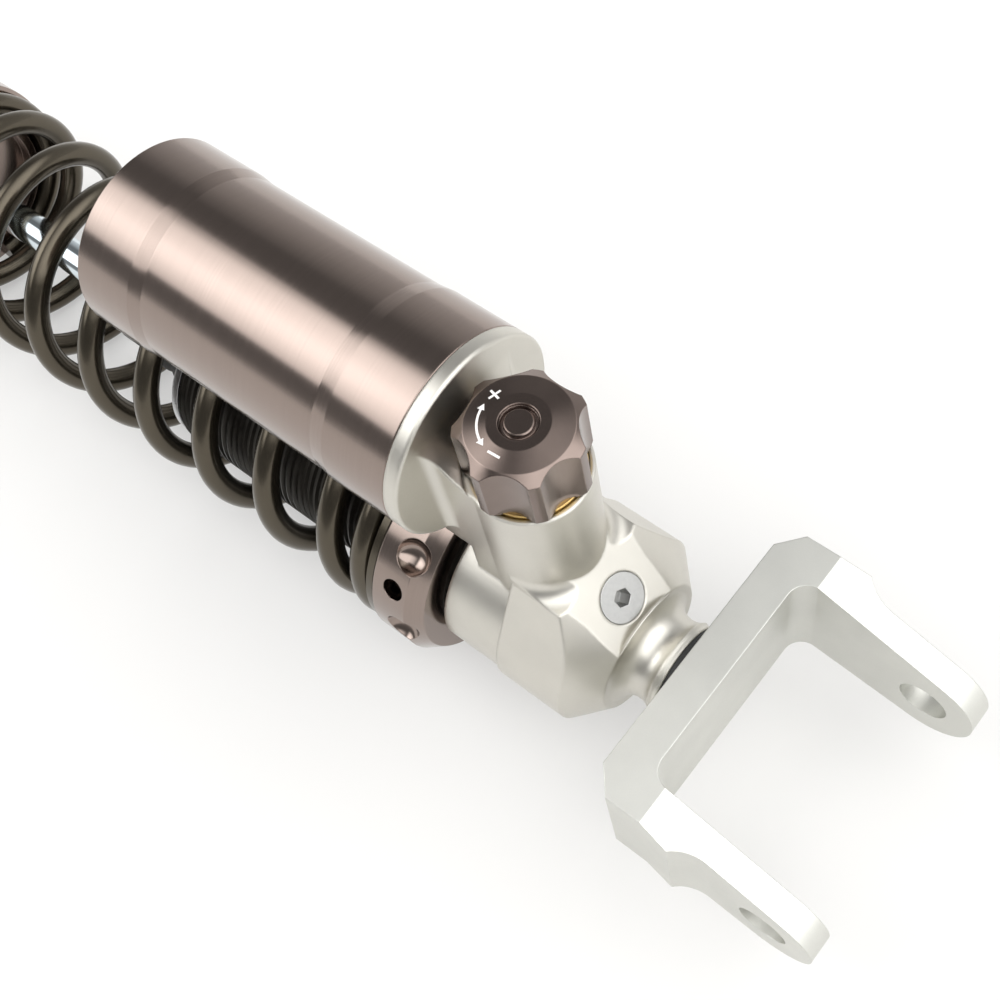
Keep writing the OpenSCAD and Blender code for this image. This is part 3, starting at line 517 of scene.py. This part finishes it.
class SHOCK_OT_spring(bpy.types.Operator):
    """Coil spring with closed and ground ends, its washer and the preload ring"""
    bl_idname = "shock.spring"
    bl_label = "Spring"

    def execute(self, context):
        sizes = context.scene.shock_sizes
        low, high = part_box("main_spring")
        wire, ground = 3.5 * MM, 1.5 * MM
        mean = 28.5 * MM
        dead_pitch, dead, ramp, steps = 7.45 * MM, 0.75, 0.5, 72
        reach = high.x - low.x - 2 * wire + 2 * ground
        ends = dead_pitch * dead + (dead_pitch + sizes.coil_pitch) / 2 * ramp
        free = (reach - 2 * ends) / sizes.coil_pitch
        start = math.radians(252)
        bm = bmesh.new()
        ring = bmesh.ops.create_circle(bm, segments=sizes.wire_sides, radius=wire,
                                       cap_ends=True)["verts"]
        front = high.x + ground - wire
        # the wire's section stands upright on the axis at the start angle
        place = Matrix.Translation((front, 0, AXIS_Z)) \
            @ Matrix.Rotation(start, 4, "X") @ Matrix.Translation((0, mean, 0))
        bmesh.ops.transform(bm, matrix=place, verts=ring)
        last = [*bm.faces, *bm.edges, *ring]

        def wind(turns, pitch, count, geom):
            out = bmesh.ops.spin(bm, geom=geom, cent=(0, 0, AXIS_Z), axis=(-1, 0, 0),
                                 dvec=(-pitch * turns / count, 0, 0),
                                 angle=2 * math.pi * turns, steps=count)
            return out["geom_last"]

        def ramp_up(geom, first, second):
            parts = 12
            for i in range(parts):
                pitch = first + (second - first) * (i + 0.5) / parts
                geom = wind(ramp / parts, pitch, round(ramp / parts * steps), geom)
            return geom

        last = wind(dead, dead_pitch, round(dead * steps), last)
        last = ramp_up(last, dead_pitch, sizes.coil_pitch)
        last = wind(free, sizes.coil_pitch, round(free * steps), last)
        last = ramp_up(last, sizes.coil_pitch, dead_pitch)
        wind(dead, dead_pitch, round(dead * steps), last)
        # ends ground flat on their seats
        for x, way in ((high.x, 1), (low.x, -1)):
            cut = bmesh.ops.bisect_plane(bm, geom=[*bm.verts, *bm.edges, *bm.faces],
                                         plane_co=(x, 0, 0), plane_no=(way, 0, 0),
                                         clear_outer=True)["geom_cut"]
            rims = [e for e in cut if isinstance(e, bmesh.types.BMEdge)]
            bmesh.ops.holes_fill(bm, edges=rims, sides=0)
        bmesh.ops.recalc_face_normals(bm, faces=bm.faces)
        piece = link_piece("coil_spring", bm, finish_named("spring_coat"), "spring",
                           SMOOTH_COIL)
        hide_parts("main_spring")
        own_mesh(piece)
        dress(["spring_washer", "preload_ring", "ring_grub_screw"])
        return {"FINISHED"}


class SHOCK_OT_adjuster(bpy.types.Operator):
    """Fluted knob with its marks, brass detent disc, stem and needle"""
    bl_idname = "shock.adjuster"
    bl_label = "Adjuster"

    def execute(self, context):
        # the knob's face falls off by 10 degrees and keeps its edge
        dress(["adjuster_knob"], SMOOTH_KNOB)
        dress(["knob_cap", "adjuster_disc", "adjuster_stem", "adjuster_needle"])
        bm = bmesh.new()
        self.bar(bm, PLUS_ANGLE, 0)
        self.bar(bm, PLUS_ANGLE, 90)
        self.bar(bm, MINUS_ANGLE, 90)
        self.arrow(bm)
        for vert in bm.verts:
            vert.co.z -= max(0, vert.co.xy.length - KNOB_FLAT) * KNOB_FALL
        bmesh.ops.translate(bm, verts=bm.verts, vec=(KNOB_X, 0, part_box("adjuster_knob")[1].z))
        bmesh.ops.recalc_face_normals(bm, faces=bm.faces)
        paint = marking_paint("finish_marking")
        link_piece("knob_marks", bm, paint, "knob")
        return {"FINISHED"}

    @staticmethod
    def bar(bm, angle, turn):
        """A short stroke on the knob's face, turned from the radius."""
        made = bmesh.ops.create_cube(bm, size=1)["verts"]
        bmesh.ops.scale(bm, verts=made, vec=(MARK_LENGTH, MARK_WIDTH, MARK_HEIGHT))
        place = Matrix.Rotation(math.radians(angle), 4, "Z") \
            @ Matrix.Translation((MARK_RADIUS, 0, 0)) \
            @ Matrix.Rotation(math.radians(turn), 4, "Z")
        bmesh.ops.transform(bm, matrix=place, verts=made)

    @staticmethod
    def arrow(bm):
        """An arc with a head at each end, between the marks."""
        first, last = (math.radians(angle) for angle in ARROW_ANGLES)
        half, high = MARK_WIDTH / 2, MARK_HEIGHT / 2
        ring = [bm.verts.new(((MARK_RADIUS + r) * math.cos(first),
                              (MARK_RADIUS + r) * math.sin(first), z))
                for r, z in ((-half, -high), (half, -high), (half, high), (-half, high))]
        face = bm.faces.new(ring)
        bmesh.ops.spin(bm, geom=[face, *face.edges, *ring], cent=(0, 0, 0), axis=(0, 0, 1),
                       angle=last - first, steps=ARROW_STEPS)
        for angle, way in ((first, -1), (last, 1)):
            made = bmesh.ops.create_cone(bm, cap_ends=True, cap_tris=True, segments=3,
                                         radius1=ARROW_HEAD, radius2=ARROW_HEAD,
                                         depth=MARK_HEIGHT)["verts"]
            place = Matrix.Rotation(angle, 4, "Z") @ Matrix.Translation((MARK_RADIUS, 0, 0)) \
                @ Matrix.Rotation(0 if way > 0 else math.pi, 4, "Z")
            bmesh.ops.transform(bm, matrix=place, verts=made)


class SHOCK_OT_rod_end(bpy.types.Operator):
    """Chromed rod with its piston, spring seat, lock nut and bushed upper eye"""
    bl_idname = "shock.rod_end"
    bl_label = "Rod and upper eye"

    def execute(self, context):
        dress(["piston_rod", "piston", "piston_band", "compression_shims", "rebound_shims",
               "piston_nut", "spring_seat", "eye_lock_nut", "upper_eye", "eye_bush",
               "eye_sleeve"])
        return {"FINISHED"}


class SHOCK_OT_fork(bpy.types.Operator):
    """Fork for the lower bolt and the seal behind it"""
    bl_idname = "shock.fork"
    bl_label = "Fork"

    def execute(self, context):
        dress(["fork", "fork_oring"])
        return {"FINISHED"}


# Floor, light and camera


class SHOCK_OT_stage(bpy.types.Operator):
    """Pale floor, the lit room and the camera"""
    bl_idname = "shock.stage"
    bl_label = "Stage"

    def execute(self, context):
        self.floor(context)
        self.room(context)
        self.lamp("key_light", way=(-0.5, 0.6, 1.0), distance=1.5, size=(0.9, 0.7), power=4.0)
        self.lamp("fill_light", way=(0.6, -0.2, 1.0), distance=1.6, size=(1.2, 1.2), power=2.0)
        self.camera(context)
        view = context.scene.view_settings
        view.view_transform = "Standard"
        return {"FINISHED"}

    @staticmethod
    def floor(context):
        """Paper under the part, which burns out to white round it."""
        made = Finish("floor_paper").set(Roughness=0.8, Metallic=0.0)
        tones = context.scene.shock_colours
        made.tint(made.noise(scale=30), shade(tones.floor, 0.995), tones.floor)
        # the camera and mirrors see the paper burn out to white, under its own soft shadow
        ray = made.node("ShaderNodeLightPath")
        seen = made.node("ShaderNodeMath", operation="MAXIMUM")
        made.link(ray.outputs["Is Camera Ray"], seen.inputs[0])
        made.link(ray.outputs["Is Glossy Ray"], seen.inputs[1])
        share = made.node("ShaderNodeMath", operation="MULTIPLY")
        made.link(seen.outputs["Value"], share.inputs[0])
        share.inputs[1].default_value = FLOOR_WHITE
        glow = made.node("ShaderNodeEmission", Strength=1.0)
        mix = made.node("ShaderNodeMixShader")
        made.link(share.outputs["Value"], mix.inputs["Fac"])
        made.link(made.shader.outputs["BSDF"], mix.inputs[1])
        made.link(glow.outputs["Emission"], mix.inputs[2])
        made.link(mix.outputs["Shader"],
                  made.tree.nodes["Material Output"].inputs["Surface"])
        bm = bmesh.new()
        bmesh.ops.create_grid(bm, x_segments=1, y_segments=1, size=FLOOR_HALF)
        bmesh.ops.translate(bm, verts=bm.verts, vec=(0, 0, cad_bounds[0].z - FLOOR_BELOW))
        mesh = bpy.data.meshes.new("floor")
        bm.to_mesh(mesh)
        bm.free()
        mesh.materials.append(made.material)
        floor = bpy.data.objects.new("floor", mesh)
        context.scene.collection.objects.link(floor)

    @staticmethod
    def room(context):
        """A white backdrop to the eye. Metal mirrors a room set out by direction: a white
        floor, pale walls, a dark ceiling, a long soft box over the reservoir and one over
        the fork's end."""
        world = bpy.data.worlds.new("studio")
        context.scene.world = world
        world.use_nodes = True
        tree = world.node_tree

        def node(kind, **values):
            made = tree.nodes.new(kind)
            for key, value in values.items():
                setattr(made, key, value)
            return made

        def ramp(value, stops, low, high):
            """Brightness by a value between low and high."""
            scale = node("ShaderNodeMapRange")
            scale.inputs["From Min"].default_value = low
            scale.inputs["From Max"].default_value = high
            made = node("ShaderNodeValToRGB")
            places = [(place - low) / (high - low) for place, _ in stops]
            elements = made.color_ramp.elements
            elements[0].position, elements[-1].position = places[0], places[-1]
            for place in places[1:-1]:
                elements.new(place)
            for element, (_, grey) in zip(elements, stops):
                element.color = (grey, grey, grey, 1)
            tree.links.new(value, scale.inputs["Value"])
            tree.links.new(scale.outputs["Result"], made.inputs["Fac"])
            return made.outputs["Color"]

        def blend(kind, first, second):
            made = node("ShaderNodeMix", data_type="RGBA", blend_type=kind)
            made.inputs["Factor"].default_value = 1
            tree.links.new(first, made.inputs[MIX_A])
            tree.links.new(second, made.inputs[MIX_B])
            return made.outputs[MIX_RESULT]

        axes = node("ShaderNodeSeparateXYZ")
        tree.links.new(node("ShaderNodeTexCoord").outputs["Generated"], axes.inputs["Vector"])
        turn = node("ShaderNodeMath", operation="ARCTAN2")
        tree.links.new(axes.outputs["Y"], turn.inputs[0])
        tree.links.new(axes.outputs["Z"], turn.inputs[1])
        angle = node("ShaderNodeMath", operation="DEGREES")
        tree.links.new(turn.outputs["Value"], angle.inputs[0])
        walls = ramp(angle.outputs["Value"], ROOM, -180, 180)
        seen = walls
        for glow, reach in ((LONG_BOX, LONG_BOX_REACH), (END_BOX, END_BOX_REACH)):
            lit = blend("MULTIPLY", ramp(angle.outputs["Value"], glow, -180, 180),
                        ramp(axes.outputs["X"], reach, -1, 1))
            seen = blend("ADD", seen, lit)
        ray = node("ShaderNodeLightPath")
        mix = node("ShaderNodeMix", data_type="RGBA")
        tree.links.new(ray.outputs["Is Camera Ray"], mix.inputs["Factor"])
        tree.links.new(seen, mix.inputs[MIX_A])
        mix.inputs[MIX_B].default_value = (1, 1, 1, 1)
        tree.links.new(mix.outputs[MIX_RESULT], tree.nodes["Background"].inputs["Color"])

    @staticmethod
    def lamp(name, way, distance, size, power):
        """A soft lamp that faces the reservoir from the given direction."""
        target = Vector((JOINT_X - 0.04, 0, RESERVOIR_Z))
        light = bpy.data.lights.new(name, "AREA")
        light.shape = "RECTANGLE"
        light.size, light.size_y = size
        light.energy = power
        box = bpy.data.objects.new(name, light)
        # metal mirrors the room's boxes instead of this one
        box.visible_glossy = False
        box.location = target + Vector(way).normalized() * distance
        box.rotation_mode = "QUATERNION"
        box.rotation_quaternion = (target - box.location).to_track_quat("-Z", "Y")
        bpy.context.scene.collection.objects.link(box)

    @staticmethod
    def camera(context):
        """The camera that was fitted to the photograph's outlines."""
        lens = bpy.data.cameras.new("camera")
        lens.lens, lens.sensor_width = 52.992, 36
        lens.clip_start = 0.01
        camera = bpy.data.objects.new("camera", lens)
        right = Vector((0.76614, 0.62687, -0.14164))
        up = Vector((-0.50727, 0.72518, 0.46560))
        back = Vector((0.39458, -0.28487, 0.87359))
        stand = Vector((JOINT_X + 0.141128, -0.097444, AXIS_Z + 0.330142))
        turn = Matrix((right, up, back)).transposed().to_4x4()
        camera.matrix_world = Matrix.Translation(stand) @ turn
        context.scene.collection.objects.link(camera)
        context.scene.camera = camera


class SHOCK_PT_panel(bpy.types.Panel):
    """Lists the shock's sizes, colours and pieces"""
    bl_label = "Shock Absorber"
    bl_idname = "SHOCK_PT_panel"
    bl_space_type = "VIEW_3D"
    bl_region_type = "UI"
    bl_category = "Shock"

    def draw(self, context):
        layout = self.layout
        for group in (context.scene.shock_sizes, context.scene.shock_colours):
            box = layout.box()
            for name in type(group).__annotations__:
                box.prop(group, name)
        for step in STEPS:
            layout.operator(step.bl_idname)


STEPS = (SHOCK_OT_reservoir, SHOCK_OT_head, SHOCK_OT_threaded_tube, SHOCK_OT_spring,
         SHOCK_OT_adjuster, SHOCK_OT_rod_end, SHOCK_OT_fork, SHOCK_OT_stage)
CLASSES = (ShockSizes, ShockColours, *STEPS, SHOCK_PT_panel)


def register():
    for cls in CLASSES:
        bpy.utils.register_class(cls)
    bpy.types.Scene.shock_sizes = bpy.props.PointerProperty(type=ShockSizes)
    bpy.types.Scene.shock_colours = bpy.props.PointerProperty(type=ShockColours)


def unregister():
    del bpy.types.Scene.shock_sizes
    del bpy.types.Scene.shock_colours
    for cls in reversed(CLASSES):
        bpy.utils.unregister_class(cls)


def main():
    register()
    for step in STEPS:
        group, name = step.bl_idname.split(".")
        getattr(getattr(bpy.ops, group), name)()


if __name__ == "__main__":
    main()
